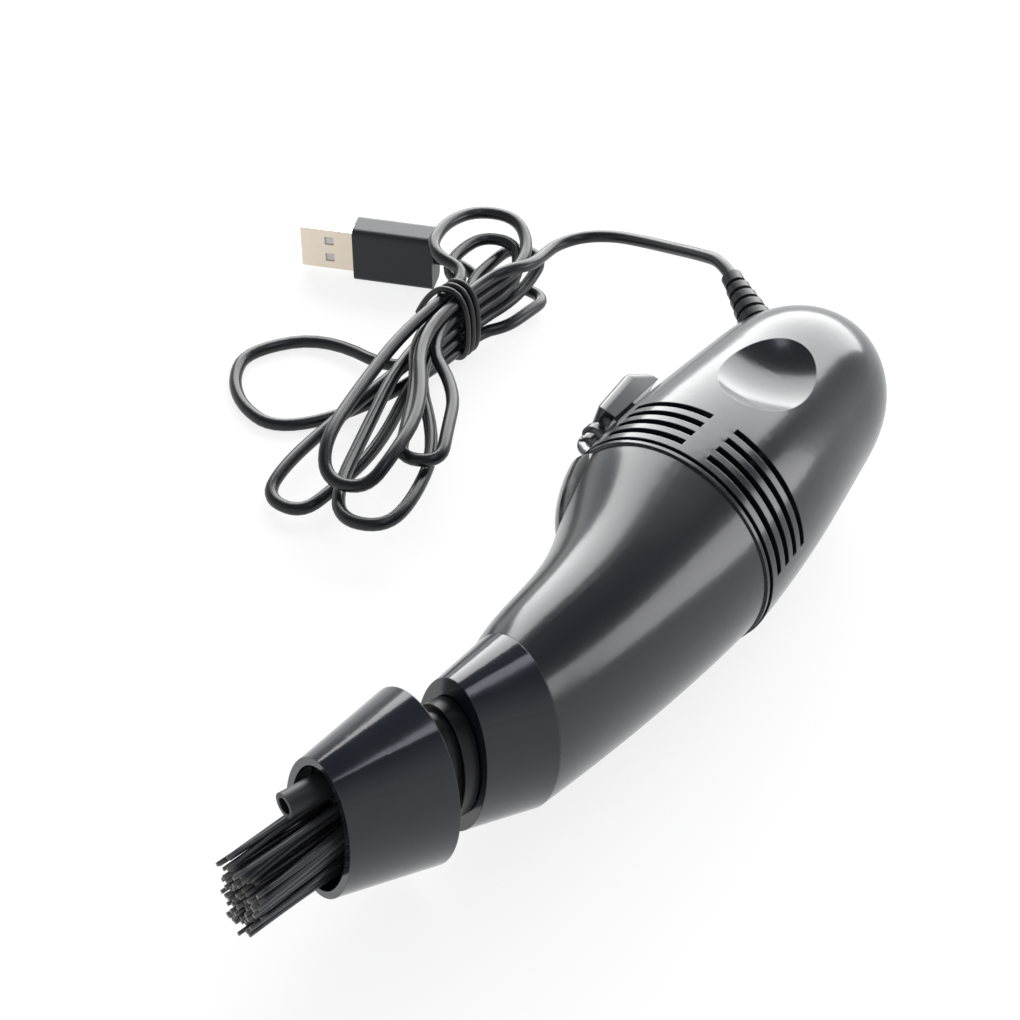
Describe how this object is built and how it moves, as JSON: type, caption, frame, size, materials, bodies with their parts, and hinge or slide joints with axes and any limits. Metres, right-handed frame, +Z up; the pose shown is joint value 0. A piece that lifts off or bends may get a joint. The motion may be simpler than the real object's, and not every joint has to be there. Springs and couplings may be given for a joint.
{
  "type": "desktop mini vacuum cleaner",
  "caption": "Hand-held desktop vacuum cleaner with a vented rear housing, slide switch, lamp, swivelling oval brush head and a tied USB lead.",
  "frame": {"origin": "on the surface under the middle of the cleaner's own box, without its lead", "axes": "+Z up; +Y along the body from the nozzle to the rear dome; the switch, the lamp and the lead are on the -X side"},
  "size_m": [0.1809, 0.226, 0.0522],
  "materials": {
    "housing": "glossy near-black plastic",
    "nozzle": "glossy blue-black plastic",
    "neck": "satin black plastic",
    "knob": "satin black plastic",
    "inner_plastic": "moulded plastic",
    "fan_plastic": "pale moulded plastic",
    "screw": "zinc-plated steel",
    "motor_steel": "plated steel",
    "magnet": "ferrite and laminated iron",
    "terminal": "tinned metal",
    "filter_cloth": "thin non-woven cloth",
    "smoky_clear": "smoky clear plastic",
    "clear_lamp": "clear epoxy",
    "bristle": "stiff nylon",
    "board": "glass-fibre board",
    "wire": "soft insulation",
    "cord": "soft glossy black sheath",
    "tie": "plastic-covered wire",
    "overmold": "moulded black plastic",
    "plug_metal": "nickel-plated steel",
    "plug_tongue": "pale moulded plastic"
  },
  "bodies": {
    "housing": {"rear_housing_upper": "housing", "rear_housing_lower": "housing", "housing_screws": "screw", "motor_plate": "inner_plastic", "motor_can": "motor_steel", "motor_end_cap": "inner_plastic", "motor_terminals": "terminal", "motor_screws": "screw", "motor_magnets": "magnet", "inlet_plate": "inner_plastic", "filter_frame": "inner_plastic", "filter_cloth": "filter_cloth", "slide_switch": "terminal", "switch_board": "board", "led_resistor": "inner_plastic", "led_bulb": "clear_lamp", "strain_relief": "cord", "supply_wires": "wire", "motor_wires": "wire", "cord_lead": "cord", "cord_hank": "cord", "cord_tail": "cord", "twist_tie": "tie", "plug_overmold": "overmold", "plug_shell": "plug_metal", "plug_tongue": "plug_tongue", "plug_contacts": "terminal"},
    "switch": {"switch_knob": "knob", "switch_lever": "inner_plastic"},
    "fan": {"motor_shaft": "motor_steel", "impeller": "fan_plastic", "motor_armature": "magnet"},
    "front": {"front_shell": "housing", "nozzle_ring": "nozzle", "light_window": "smoky_clear"},
    "neck": {"nozzle_neck": "neck"},
    "brush_head": {"brush_cup": "nozzle", "brush_plate": "neck", "suction_tube": "neck", "brush_bristles": "bristle"}
  },
  "joints": [
    {"name": "switch_slide", "type": "slide", "parent": "housing", "child": "switch", "axis": [0, 1, 0], "range_m": [0, 0.0035]},
    {"name": "fan_spin", "type": "hinge", "parent": "housing", "child": "fan", "pos_m": [0.00636, 0.03602, 0.0261], "axis": [0, 1, 0], "continuous": true},
    {"name": "front_pull_off", "type": "slide", "parent": "housing", "child": "front", "axis": [0, -1, 0], "range_m": [0, 0.03]},
    {"name": "nozzle_swivel", "type": "hinge", "parent": "front", "child": "neck", "pos_m": [0.00665, -0.05606, 0.02606], "axis": [-0.2596, -0.965, 0.0365], "continuous": true},
    {"name": "brush_head_pull_off", "type": "slide", "parent": "neck", "child": "brush_head", "axis": [-0.2596, -0.965, 0.0365], "range_m": [0, 0.012]}
  ]
}
